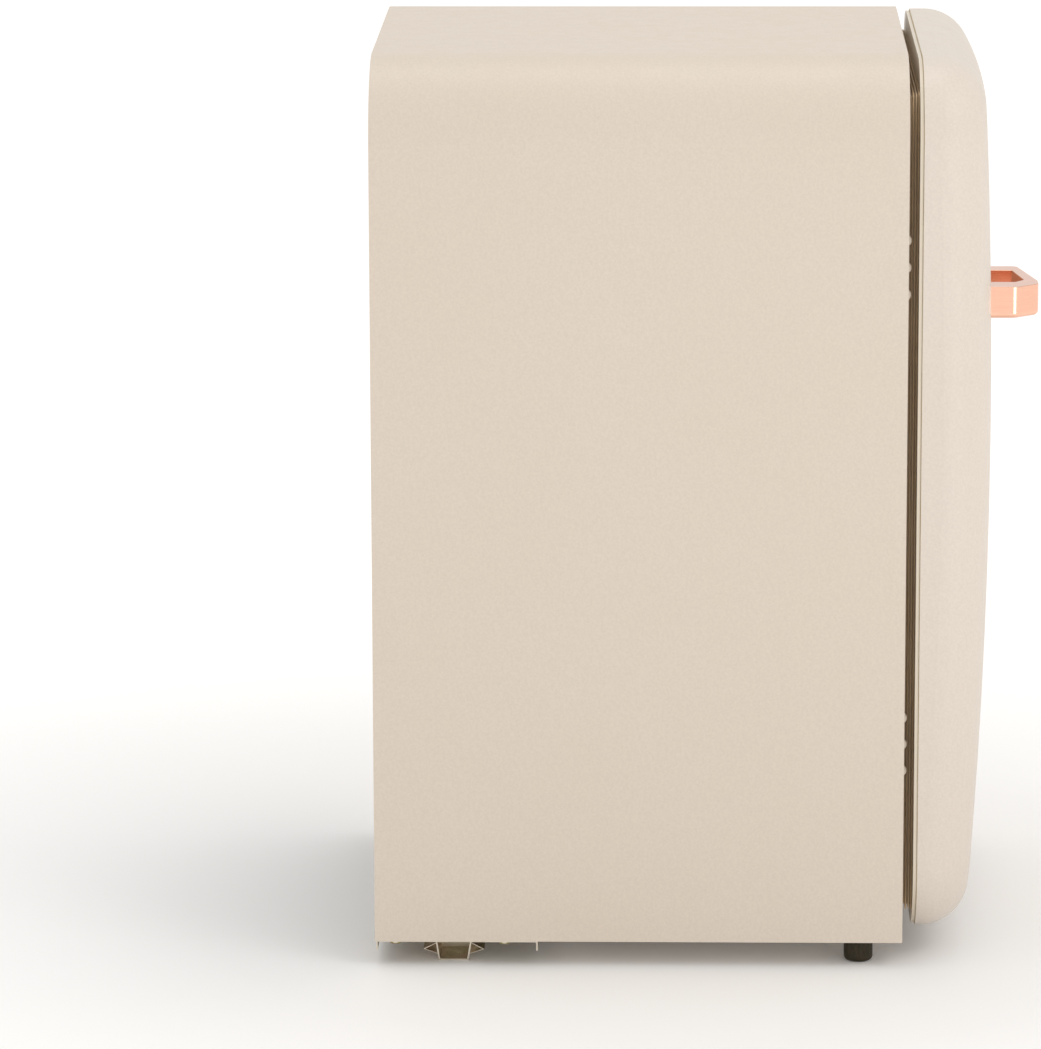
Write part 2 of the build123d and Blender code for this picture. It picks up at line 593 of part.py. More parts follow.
with BuildPart() as compressor_legs:
    leg_z = BASE + 12.0
    span(
        (COMPRESSOR_X - 96, COMPRESSOR_X + 96),
        (COMPRESSOR_Y - 60, COMPRESSOR_Y + 60),
        (leg_z, leg_z + 3),
    )
    fillet(compressor_legs.edges().filter_by(Axis.Z), 12)
    cut = (COMPRESSOR_X - 60, COMPRESSOR_X + 60)
    span(cut, (COMPRESSOR_Y - 61, COMPRESSOR_Y - 42), (0, 90), Mode.SUBTRACT)
    span(cut, (COMPRESSOR_Y + 42, COMPRESSOR_Y + 61), (0, 90), Mode.SUBTRACT)
    for side in (-1, 1):
        web = sorted((COMPRESSOR_X + side * 44, COMPRESSOR_X + side * 47))
        span(web, (COMPRESSOR_Y - 30, COMPRESSOR_Y + 30), (leg_z + 3, CAN_LOW + 6))
    add(compressor_can.part, mode=Mode.SUBTRACT)
    with Locations(*[(x, y, leg_z) for x, y in GROMMETS]):
        Cylinder(7.2, 20, mode=Mode.SUBTRACT)
write(compressor_legs, "compressor_legs")

with BuildPart() as compressor_grommets:
    for x, y in GROMMETS:
        with BuildSketch(Plane(origin=(x, y, 0), x_dir=(1, 0, 0), z_dir=(0, -1, 0))):
            # half section of a waisted rubber bush, from the plate up to over the leg
            with BuildLine():
                Polyline(
                    (4.2, BASE + SLIP),
                    (10.5, BASE + SLIP),
                    (10.5, BASE + 11.8),
                    (7.0, BASE + 11.8),
                    (7.0, BASE + 15.2),
                    (9.5, BASE + 15.2),
                    (8.5, BASE + 19),
                    (4.2, BASE + 19),
                    close=True,
                )
            make_face()
        revolve(axis=Axis((x, y, 0), (0, 0, 1)))
write(compressor_grommets, "compressor_grommets")

with BuildPart() as compressor_bolts:
    for x, y in GROMMETS:
        with Locations((x, y, BASE + 8)):
            Cylinder(3.9, 27)
        with BuildSketch(Plane.XY.offset(BASE - PLATE - 4.5)):
            with Locations((x, y)):
                RegularPolygon(7.5, 6)
        extrude(amount=4.3)
        with Locations((x, y, BASE + 20.2)):
            Cylinder(8, 1.6)
write(compressor_bolts, "compressor_bolts")

with BuildPart() as terminal_cover:
    cover_x = COMPRESSOR_X - CAN_LONG - 3.0
    span((cover_x - 34, cover_x), (COMPRESSOR_Y - 26, COMPRESSOR_Y + 26), (BASE + 40, BASE + 96))
    fillet(terminal_cover.faces().sort_by(Axis.X)[0].edges(), 6)
    span((cover_x - 20, cover_x - 8), (COMPRESSOR_Y + 25, COMPRESSOR_Y + 27.5), (BASE + 52, BASE + 84))
write(terminal_cover, "terminal_cover")

CORD_BORE = 3.6
with BuildPart() as cord_gland:
    gland_z = BASE + 56.0
    gland_x = cover_x - 27.0
    with BuildSketch(Plane(origin=(gland_x, COMPRESSOR_Y + 26.2, gland_z), x_dir=(1, 0, 0), z_dir=(0, 1, 0))):
        Circle(6.5)
    extrude(amount=20, taper=4)
    for ring in range(4):
        y = COMPRESSOR_Y + 29 + ring * 4.4
        with BuildSketch(Plane(origin=(gland_x, y, gland_z), x_dir=(1, 0, 0), z_dir=(0, 1, 0))):
            Circle(7.4 - ring * 0.3)
        extrude(amount=1.6)
    with BuildSketch(Plane(origin=(gland_x, COMPRESSOR_Y + 25, gland_z), x_dir=(1, 0, 0), z_dir=(0, 1, 0))):
        Circle(CORD_BORE)
    extrude(amount=24, mode=Mode.SUBTRACT)
write(cord_gland, "cord_gland")

with BuildPart() as evaporation_tray:
    tray_z = CAN_HIGH + 0.5
    span(
        (COMPRESSOR_X - 62, COMPRESSOR_X + 62),
        (COMPRESSOR_Y - 46, COMPRESSOR_Y + 46),
        (tray_z, tray_z + 24),
    )
    fillet(evaporation_tray.edges().filter_by(Axis.Z), 12)
    offset(amount=-1.8, openings=evaporation_tray.faces().sort_by(Axis.Z)[-1])
write(evaporation_tray, "evaporation_tray")


def pipe(points, radius, bend, label):
    """A round tube along straight runs joined by bends."""
    with BuildPart() as tube:
        with BuildLine() as route:
            FilletPolyline(*points, radius=bend)
        start = Vector(*points[0])
        along = Vector(*points[1]) - start
        with BuildSketch(Plane(origin=start, z_dir=along)):
            Circle(radius)
        sweep(path=route.wires()[0])
    write(tube, label)


pipe_x = COMPRESSOR_X + CAN_LONG + 1.0
pipe(
    [
        (pipe_x, COMPRESSOR_Y + 4, BASE + 120),
        (pipe_x + 46, COMPRESSOR_Y + 4, BASE + 120),
        (pipe_x + 46, COMPRESSOR_Y + 4, BAY_TOP - 24),
        (pipe_x + 46, COMPRESSOR_Y - 48, BAY_TOP - 24),
        (pipe_x + 46, COMPRESSOR_Y - 48, BAY_TOP - 1),
    ],
    3.2,
    12,
    "suction_pipe",
)
pipe(
    [
        (pipe_x, COMPRESSOR_Y - 8, BASE + 62),
        (pipe_x + 66, COMPRESSOR_Y - 8, BASE + 62),
        (pipe_x + 66, COMPRESSOR_Y + 40, BASE + 62),
        (pipe_x + 66, COMPRESSOR_Y + 40, BAY_TOP - 1),
    ],
    2.4,
    12,
    "discharge_pipe",
)

DRIER_X = -150.0
DRIER_Y = COMPRESSOR_Y + 20.0
with BuildPart() as filter_drier:
    with BuildSketch(Plane(origin=(DRIER_X, DRIER_Y, 0), x_dir=(1, 0, 0), z_dir=(0, -1, 0))):
        with BuildLine():
            Polyline(
                (0, BASE + 60),
                (2.2, BASE + 60),
                (2.2, BASE + 70),
                (9, BASE + 80),
                (9, BASE + 150),
                (3, BASE + 160),
                (3, BASE + 172),
                (0, BASE + 172),
                close=True,
            )
        make_face()
    revolve(axis=Axis((DRIER_X, DRIER_Y, 0), (0, 0, 1)))
write(filter_drier, "filter_drier")

pipe(
    [
        (DRIER_X, DRIER_Y, BASE + 172 + SLIP),
        (DRIER_X, DRIER_Y, BAY_TOP - 20),
        (DRIER_X - 36, DRIER_Y, BAY_TOP - 20),
        (DRIER_X - 36, DRIER_Y, BAY_TOP - 1),
    ],
    2.4,
    8,
    "liquid_pipe",
)
pipe(
    [
        (DRIER_X, DRIER_Y, BASE + 60 - SLIP),
        (DRIER_X, DRIER_Y, BASE + 40),
        (DRIER_X - 42, DRIER_Y, BASE + 40),
        (DRIER_X - 42, DRIER_Y - 70, BASE + 40),
        (DRIER_X - 42, DRIER_Y - 70, BAY_TOP - 1),
    ],
    1.1,
    8,
    "capillary_tube",
)

# ---------------------------------------------------------------- feet and fasteners underneath
FOOT_RADIUS = 13.5


def levelling_foot(side, label):
    """Round foot with a fluted rim on a stud that screws into the cabinet's floor."""
    x = side * FOOT_X
    with BuildPart() as foot:
        with BuildSketch(Plane.XY):
            with Locations((x, FOOT_Y)):
                Circle(FOOT_RADIUS)
        extrude(amount=BASE - 0.3)
        fillet(foot.edges().group_by(Axis.Z)[0], 4.5)
        flutes = 18
        with BuildSketch(Plane.XY.offset(7)):
            with Locations((x, FOOT_Y)):
                with PolarLocations(FOOT_RADIUS + 0.5, flutes):
                    Circle(1.0)
        extrude(amount=BASE, mode=Mode.SUBTRACT)
        with Locations((x, FOOT_Y, BASE + 11)):
            Cylinder(3.9, 26)
    write(foot, label)


levelling_foot(-1, "levelling_foot_left")
levelling_foot(1, "levelling_foot_right")

with BuildPart() as foot_nuts:
    for side in (-1, 1):
        with BuildSketch(Plane.XY.offset(BASE + 2 * STEEL + SLIP)):
            with Locations((side * FOOT_X, FOOT_Y)):
                RegularPolygon(10, 6)
                Circle(4.3, mode=Mode.SUBTRACT)
        extrude(amount=14)
write(foot_nuts, "foot_nuts")


def pan_screws(spots, direction, head_radius, shank, label):
    """Round-headed screws: each spot is the underside of a head, direction points out of it."""
    with BuildPart() as screws:
        for spot in spots:
            outward = Plane(origin=spot, z_dir=direction)
            with BuildSketch(outward):
                Circle(head_radius)
            extrude(amount=head_radius * 0.42)
            with BuildSketch(outward):
                Circle(1.7)
            extrude(amount=-shank)
        heads = screws.faces().filter_by(Plane(origin=(0, 0, 0), z_dir=direction))
        far = heads.sort_by(Axis((0, 0, 0), direction))[-len(spots) :]
        fillet(far.edges(), head_radius * 0.3)
        tops = [Vector(*spot) + Vector(*direction) * head_radius * 0.42 for spot in spots]
        with BuildSketch(*[Plane(origin=top, z_dir=direction) for top in tops]):
            Rectangle(head_radius * 1.0, head_radius * 0.24)
            Rectangle(head_radius * 0.24, head_radius * 1.0)
        extrude(amount=-head_radius * 0.22, mode=Mode.SUBTRACT)
    write(screws, label)


rear_spots = [(side * (SIDE - 7), BACK - REAR_HEM, z) for z in REAR_SCREW_HEIGHTS for side in (-1, 1)]
pan_screws(rear_spots, (0, 1, 0), 4.0, 2.0, "rear_panel_screws")
plate_spots = [(side * PLATE_SCREW_X, y, BASE - PLATE) for side in (-1, 1) for y in PLATE_SCREW_YS]
pan_screws(plate_spots, (0, 0, -1), 6.0, 6.0, "plate_screws")

# ---------------------------------------------------------------- hinges
LEAF = 2.0
LEAF_HALF = 38.0
KNUCKLE_SPLIT = 14.0
NOTCH = KNUCKLE_RADIUS + 1.0
DOOR_SCREW_STEPS = (-30.0, 30.0)


def round_holes(points, radius):
    """Circles of one radius for the sketch they are called in."""
    with Locations(*points):
        Circle(radius)


def hinge_leaf(height, on_door, label):
    """One leaf of a butt hinge: a plate with its share of the knuckles round the pin."""
    plate_y = (RIM_REAR, RIM_REAR + LEAF) if on_door else (FACE - LEAF, FACE)
    inner_x = SIDE - 18.0
    if on_door:
        knuckles = ((height - KNUCKLE_SPLIT + 0.4, height + KNUCKLE_SPLIT - 0.4),)
        notches = (
            (height + KNUCKLE_SPLIT - 0.4, height + LEAF_HALF + 1),
            (height - LEAF_HALF - 1, height - KNUCKLE_SPLIT + 0.4),
        )
        steps = DOOR_SCREW_STEPS
    else:
        knuckles = (
            (height + KNUCKLE_SPLIT, height + LEAF_HALF),
            (height - LEAF_HALF, height - KNUCKLE_SPLIT),
        )
        notches = ((height - KNUCKLE_SPLIT, height + KNUCKLE_SPLIT),)
        steps = SCREW_STEPS
    with BuildPart() as leaf:
        span((inner_x, PIN_X), plate_y, (height - LEAF_HALF, height + LEAF_HALF))
        for z in notches:
            span((PIN_X - NOTCH, PIN_X + 1), (plate_y[0] - 1, plate_y[1] + 1), z, Mode.SUBTRACT)
        for z0, z1 in knuckles:
            with Locations((PIN_X, PIN_Y, (z0 + z1) / 2)):
                Cylinder(KNUCKLE_RADIUS, z1 - z0)
        with Locations((PIN_X, PIN_Y, height)):
            Cylinder(PIN_RADIUS + 0.06, 3 * LEAF_HALF, mode=Mode.SUBTRACT)
        with BuildSketch(front_plane(plate_y[1] + 1)):
            round_holes([(HINGE_SCREW_X, height + s) for s in steps], PLUG_HOLE)
        extrude(amount=LEAF + 2, mode=Mode.SUBTRACT)
    write(leaf, label)


for name, height in zip(("lower", "upper"), HINGE_HEIGHTS):
    hinge_leaf(height, False, f"{name}_hinge_cabinet_leaf")
    hinge_leaf(height, True, f"{name}_hinge_door_leaf")

with BuildPart() as hinge_pins:
    for height in HINGE_HEIGHTS:
        with Locations((PIN_X, PIN_Y, height)):
            Cylinder(PIN_RADIUS, 2 * LEAF_HALF + 1)
        for end in (-1, 1):
            with Locations((PIN_X, PIN_Y, height + end * (LEAF_HALF + 1.3))):
                Cylinder(PIN_RADIUS + 0.9, 2.0)
write(hinge_pins, "hinge_pins")

cabinet_spots = [(HINGE_SCREW_X, FACE - LEAF, h + s) for h in HINGE_HEIGHTS for s in SCREW_STEPS]
pan_screws(cabinet_spots, (0, -1, 0), 3.6, 14.0, "hinge_cabinet_screws")
door_spots = [(HINGE_SCREW_X, RIM_REAR + LEAF, h + s) for h in HINGE_HEIGHTS for s in DOOR_SCREW_STEPS]
pan_screws(door_spots, (0, 1, 0), 3.6, 12.0, "hinge_door_screws")

with BuildPart() as hinge_hole_plugs:
    # domed covers over the unused hinge holes on the handle side
    plug_radius = 5.0
    plug_rise = 2.7
    for height in HINGE_HEIGHTS:
        for step in SCREW_STEPS:
            spot = (-HINGE_SCREW_X, 0, height + step)
            with BuildSketch(Plane(origin=spot, x_dir=(1, 0, 0), z_dir=(0, 0, 1))):
                with BuildLine():
                    Line((0, FACE), (0, FACE - plug_rise))
                    ThreePointArc(
                        (0, FACE - plug_rise),
                        (plug_radius * 0.72, FACE - plug_rise * 0.62),
                        (plug_radius, FACE),
                    )
                    Line((plug_radius, FACE), (0, FACE))
                make_face()
            revolve(axis=Axis(spot, (0, 1, 0)))
    shank_plane = front_plane(FACE + 8)
    with BuildSketch(shank_plane):
        round_holes([(-HINGE_SCREW_X, h + s) for h in HINGE_HEIGHTS for s in SCREW_STEPS], 1.9)
    extrude(amount=9)
write(hinge_hole_plugs, "hinge_hole_plugs")

# ---------------------------------------------------------------- door
GASKET_SIDE = SIDE - 20.0
GASKET_HIGH = TOP - 28.7
GASKET_LOW = BASE + 26.7
GASKET_WIDTH = 14.0


def door_block(inset, rear):
    """The door's rounded, crowned body, taken in by inset all round and open-ended at its rear plane."""
    crown = SKIN_REAR - DOOR_DEPTH + inset
    radius = CROWN_RADIUS - inset
    with BuildPart() as block:
        with BuildSketch(front_plane(rear)):
            with Locations((0, DOOR_MIDDLE)):
                RectangleRounded(WIDTH - 2 * inset, DOOR_HEIGHT - 2 * inset, CORNER - inset)
        extrude(amount=rear - crown + 20)
        with Locations((0, crown + radius, BASE + CROWN_HEIGHT)):
            Sphere(radius, mode=Mode.INTERSECT)
        front_edges = block.faces().sort_by(Axis.Y)[0].edges()
        fillet(front_edges, DOOR_ROUND - inset)
    return block.part


door_outside = door_block(0.0, SKIN_REAR)
door_inside = door_block(DOOR_SKIN, SKIN_REAR + 5)

HANDLE_LOW = BASE + 579.7
HANDLE_HIGH = BASE + 609.1
HANDLE_LEFT = -SIDE + 50.0
HANDLE_FRONT = -BACK
HANDLE_RIGHT = HANDLE_LEFT + 115.0
HANDLE_TAPER = 15.5  # how much less the right end stands out
HANDLE_SCREWS = (HANDLE_LEFT + 13.0, HANDLE_RIGHT - 10.5)
HANDLE_SCREW_Z = (HANDLE_LOW + HANDLE_HIGH) / 2
HANDLE_ROOT = SKIN_REAR - 30.0
HANDLE_UNDER_ROUND = 4.5  # along the lower outer edge

with BuildPart() as door_skin:
    add(door_outside)
    add(door_inside, mode=Mode.SUBTRACT)
    with BuildSketch(front_plane(SKIN_REAR)):
        round_holes([(x, HANDLE_SCREW_Z) for x in HANDLE_SCREWS], 2.7)
    extrude(amount=100, mode=Mode.SUBTRACT)
write(door_skin, "door_skin")

foam_block = door_block(DOOR_SKIN + SLIP, RIM_FRONT - SLIP)

with BuildPart() as door_foam:
    add(foam_block)
    with BuildSketch(front_plane(RIM_FRONT)):
        round_holes([(HINGE_SCREW_X, h + s) for h in HINGE_HEIGHTS for s in DOOR_SCREW_STEPS], 2.6)
    extrude(amount=12, mode=Mode.SUBTRACT)
    with BuildSketch(front_plane(RIM_FRONT)):
        round_holes([(x, HANDLE_SCREW_Z) for x in HANDLE_SCREWS], 9)
    extrude(amount=100, mode=Mode.SUBTRACT)
write(door_foam, "door_foam")

RIM_INSET = 2.0
DYKE_HALF = 188.0
DYKE_WIDTH = 16.0
DYKE_HIGH = CEILING - 5.0
DYKE_LOW = FLOOR + 14.0
DYKE_DEPTH = 37.0
DYKE_WALL = 2.0
RACKS = (  # name, underside, height of the walls, depth from the door's liner
    ("bottle_rack", 118.0, 88.0, 94.0),
    ("middle_rack", 400.0, 62.0, 80.0),
    ("top_rack", 610.0, 54.0, 64.0),
)
RACK_HALF = DYKE_HALF - DYKE_WIDTH - 1.0
RACK_WALL = 2.2

with BuildPart() as door_liner:
    with BuildSketch(front_plane(RIM_REAR)):
        with Locations((0, DOOR_MIDDLE)):
            RectangleRounded(WIDTH - 2 * RIM_INSET, DOOR_HEIGHT - 2 * RIM_INSET, CORNER - RIM_INSET)
    extrude(amount=RIM)
    with BuildSketch(front_plane(RIM_REAR + DYKE_DEPTH)):
        with Locations((0, (DYKE_LOW + DYKE_HIGH) / 2)):
            RectangleRounded(2 * DYKE_HALF, DYKE_HIGH - DYKE_LOW, 22)
            RectangleRounded(
                2 * (DYKE_HALF - DYKE_WIDTH), DYKE_HIGH - DYKE_LOW - 2 * DYKE_WIDTH, 3, mode=Mode.SUBTRACT
            )
    extrude(amount=DYKE_DEPTH)
    ridge = door_liner.faces().sort_by(Axis.Y)[-1]
    fillet(ridge.edges(), 5)
    with BuildSketch(front_plane(RIM_REAR + DYKE_DEPTH - DYKE_WALL)):
        with Locations((0, (DYKE_LOW + DYKE_HIGH) / 2)):
            RectangleRounded(2 * (DYKE_HALF - DYKE_WALL), DYKE_HIGH - DYKE_LOW - 2 * DYKE_WALL, 20)
            RectangleRounded(
                2 * (DYKE_HALF - DYKE_WIDTH + DYKE_WALL),
                DYKE_HIGH - DYKE_LOW - 2 * (DYKE_WIDTH - DYKE_WALL),
                5,
                mode=Mode.SUBTRACT,
            )
    extrude(amount=DYKE_DEPTH - DYKE_WALL + RIM + 1, mode=Mode.SUBTRACT)
    for _, low, _, _ in RACKS:
        for side in (-1, 1):
            boss = sorted((side * (RACK_HALF - 4), side * (DYKE_HALF - DYKE_WIDTH + 1)))
            span(boss, (RIM_REAR + 8, RIM_REAR + 30), (low - 6, low - SLIP))
    with BuildSketch(front_plane(RIM_REAR + 1)):
        round_holes([(HINGE_SCREW_X, h + s) for h in HINGE_HEIGHTS for s in DOOR_SCREW_STEPS], PLUG_HOLE)
    extrude(amount=RIM + 2, mode=Mode.SUBTRACT)
write(door_liner, "door_liner")

for name, low, tall, deep in RACKS:
    with BuildPart() as rack:
        near, far = RIM_REAR + 0.5, RIM_REAR + deep
        span((-RACK_HALF, RACK_HALF), (near, far), (low, low + tall))
        fillet(rack.edges().filter_by(Axis.Z).group_by(Axis.Y)[-1], 16)
        offset(amount=-RACK_WALL, openings=rack.faces().sort_by(Axis.Z)[-1])
        # low rear wall, so that what stands in the rack leans on the liner
        inner_rack = RACK_HALF - 14
        rear = (near - 1, near + RACK_WALL + 0.5)
        span((-inner_rack, inner_rack), rear, (low + 14, low + tall + 1), Mode.SUBTRACT)
        # a long window below the rail of the wall that faces the food
        window = (low + 18, low + tall - 16)
        span((-RACK_HALF + 26, RACK_HALF - 26), (far - 5, far + 1), window, Mode.SUBTRACT)
    write(rack, name)

with BuildPart() as door_gasket:
    # magnet pocket against the cabinet, waist, bellows, waist and foot against the door
    lobes = (
        (FACE - 0.4, 3.4, 0.0),
        (FACE - 3.8, 0.9, 1.9),
        (FACE - 4.7, 2.0, 0.7),
        (FACE - 6.7, 0.9, 2.2),
        (FACE - 7.6, 1.9, 0.2),
    )
    mid_z = (GASKET_LOW + GASKET_HIGH) / 2
    for start, depth, inset in lobes:
        with BuildSketch(front_plane(start)):
            with Locations((0, mid_z)):
                Rectangle(2 * (GASKET_SIDE - inset), GASKET_HIGH - GASKET_LOW - 2 * inset)
                Rectangle(
                    2 * (GASKET_SIDE - GASKET_WIDTH + inset),
                    GASKET_HIGH - GASKET_LOW - 2 * (GASKET_WIDTH - inset),
                    mode=Mode.SUBTRACT,
                )
        extrude(amount=depth)
write(door_gasket, "door_gasket")


def on_handle_outside(edge):
    """True for the handle's outer edges, false for its finger hole and its roots in the door."""
    at = edge.center()
    in_hole = HANDLE_LEFT + 27 < at.X < HANDLE_RIGHT - 20 and at.Y > HANDLE_FRONT + 12
    return not in_hole and at.Y < HANDLE_ROOT - 1


with BuildPart() as door_handle:
    with BuildSketch(Plane.XY.offset(HANDLE_LOW)):
        far_front = HANDLE_FRONT + HANDLE_TAPER
        with BuildLine():
            Polyline(
                (HANDLE_LEFT, HANDLE_ROOT),
                (HANDLE_LEFT, HANDLE_FRONT + 21),
                (HANDLE_LEFT + 18, HANDLE_FRONT),
                (HANDLE_LEFT + 36, HANDLE_FRONT),
                (HANDLE_RIGHT, far_front),
                (HANDLE_RIGHT, HANDLE_ROOT),
                close=True,
            )
        make_face()
        fillet(vertices().filter_by(lambda v: v.X < HANDLE_LEFT + 20 and v.Y < HANDLE_ROOT - 1), 9)
        fillet(vertices().filter_by(lambda v: v.X > HANDLE_RIGHT - 1 and v.Y < HANDLE_ROOT - 1), 6)
        with BuildLine():
            Polyline(
                (HANDLE_LEFT + 28, HANDLE_ROOT),
                (HANDLE_LEFT + 28, HANDLE_FRONT + 21),
                (HANDLE_LEFT + 40, HANDLE_FRONT + 12.5),
                (HANDLE_RIGHT - 23, HANDLE_FRONT + 21),
                (HANDLE_RIGHT - 21, HANDLE_ROOT),
                close=True,
            )
        make_face(mode=Mode.SUBTRACT)
    extrude(amount=HANDLE_HIGH - HANDLE_LOW)
    fillet(door_handle.edges().group_by(Axis.Z)[-1], 0.6)
    fillet(door_handle.edges().group_by(Axis.Z)[0].filter_by(on_handle_outside), HANDLE_UNDER_ROUND)
    add(door_outside, mode=Mode.SUBTRACT)
    add(door_inside, mode=Mode.SUBTRACT)
    with BuildSketch(front_plane(SKIN_REAR - 20)):
        round_holes([(x, HANDLE_SCREW_Z) for x in HANDLE_SCREWS], 2.5)
    extrude(amount=66, mode=Mode.SUBTRACT)
write(door_handle, "door_handle")

with BuildPart() as handle_screws:
    crown_at = SKIN_REAR - DOOR_DEPTH + DOOR_SKIN + 6
    for x in HANDLE_SCREWS:
        with BuildSketch(front_plane(crown_at)):
            with Locations((x, HANDLE_SCREW_Z)):
                Circle(2.3)
        extrude(amount=20)
        with BuildSketch(front_plane(crown_at + 4)):
            with Locations((x, HANDLE_SCREW_Z)):
                Circle(5)
        extrude(amount=4)
write(handle_screws, "handle_screws")

print(len(made), "pieces")
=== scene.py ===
"""Looks for the mini fridge: camera, studio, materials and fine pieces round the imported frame.

Metres, in the frame's own axes: +Z up, the door faces -Y, the hinges are at +X.
"""

import json
import math

import bmesh
import bpy
from mathutils import Matrix, Vector

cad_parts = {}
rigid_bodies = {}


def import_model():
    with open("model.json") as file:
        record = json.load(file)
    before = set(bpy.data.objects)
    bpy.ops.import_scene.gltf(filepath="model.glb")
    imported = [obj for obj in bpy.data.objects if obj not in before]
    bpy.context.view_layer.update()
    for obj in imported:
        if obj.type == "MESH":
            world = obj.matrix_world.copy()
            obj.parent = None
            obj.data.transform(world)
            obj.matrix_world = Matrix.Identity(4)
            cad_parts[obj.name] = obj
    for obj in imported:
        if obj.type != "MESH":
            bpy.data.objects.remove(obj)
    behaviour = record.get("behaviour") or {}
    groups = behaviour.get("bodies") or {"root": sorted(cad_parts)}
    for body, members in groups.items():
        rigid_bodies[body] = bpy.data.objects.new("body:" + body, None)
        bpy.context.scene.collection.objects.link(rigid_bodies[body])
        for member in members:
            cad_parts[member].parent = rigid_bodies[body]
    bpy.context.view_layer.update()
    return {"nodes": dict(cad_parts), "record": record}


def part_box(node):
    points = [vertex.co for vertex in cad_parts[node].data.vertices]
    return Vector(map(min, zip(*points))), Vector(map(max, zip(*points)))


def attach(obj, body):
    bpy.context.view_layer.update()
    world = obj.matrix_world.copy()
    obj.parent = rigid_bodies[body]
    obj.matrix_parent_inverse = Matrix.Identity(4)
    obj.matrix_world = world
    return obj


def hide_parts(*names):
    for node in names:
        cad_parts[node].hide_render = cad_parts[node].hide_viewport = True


# the start-up scene's own objects
for leftover in list(bpy.data.objects):
    bpy.data.objects.remove(leftover)

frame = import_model()
nodes = frame["nodes"]
MM = 0.001


# ---------------------------------------------------------------- camera
PHOTO_LONG_SIDE = 1049
FOCAL_PIXELS = 6138.5
SENSOR_WIDTH = 36.0
CAMERA_OUT = 5.500  # from the near side panel
CAMERA_ALONG = 0.2909  # forward of the cabinet's back
CAMERA_UP = 1.5906  # over the floor
CAMERA_TURN = -0.0280  # radians, about the vertical
CAMERA_DOWN = 0.20955  # radians below level
CAMERA_ROLL = -0.0034


def photo_camera():
    """The camera at the photograph's place, looking at the fridge's left side."""
    wrap_low, wrap_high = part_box("cabinet_wrap")
    place = Vector((wrap_low.x - CAMERA_OUT, wrap_high.y - CAMERA_ALONG, CAMERA_UP))
    level = math.cos(CAMERA_DOWN)
    forward = Vector((
        level * math.cos(CAMERA_TURN),
        -level * math.sin(CAMERA_TURN),
        -math.sin(CAMERA_DOWN),
    ))
    right = forward.cross(Vector((0, 0, 1))).normalized()
    up = right.cross(forward)
    rolled_right = math.cos(CAMERA_ROLL) * right + math.sin(CAMERA_ROLL) * up
    rolled_up = math.cos(CAMERA_ROLL) * up - math.sin(CAMERA_ROLL) * right
    turn = Matrix((rolled_right, rolled_up, -forward)).transposed()
    data = bpy.data.cameras.new("PhotoCamera")
    data.sensor_width = SENSOR_WIDTH
    data.lens = FOCAL_PIXELS * SENSOR_WIDTH / PHOTO_LONG_SIDE
    data.clip_start = 0.05
    data.clip_end = 60.0
    camera = bpy.data.objects.new("PhotoCamera", data)
    camera.matrix_world = Matrix.Translation(place) @ turn.to_4x4()
    bpy.context.scene.collection.objects.link(camera)
    bpy.context.scene.camera = camera


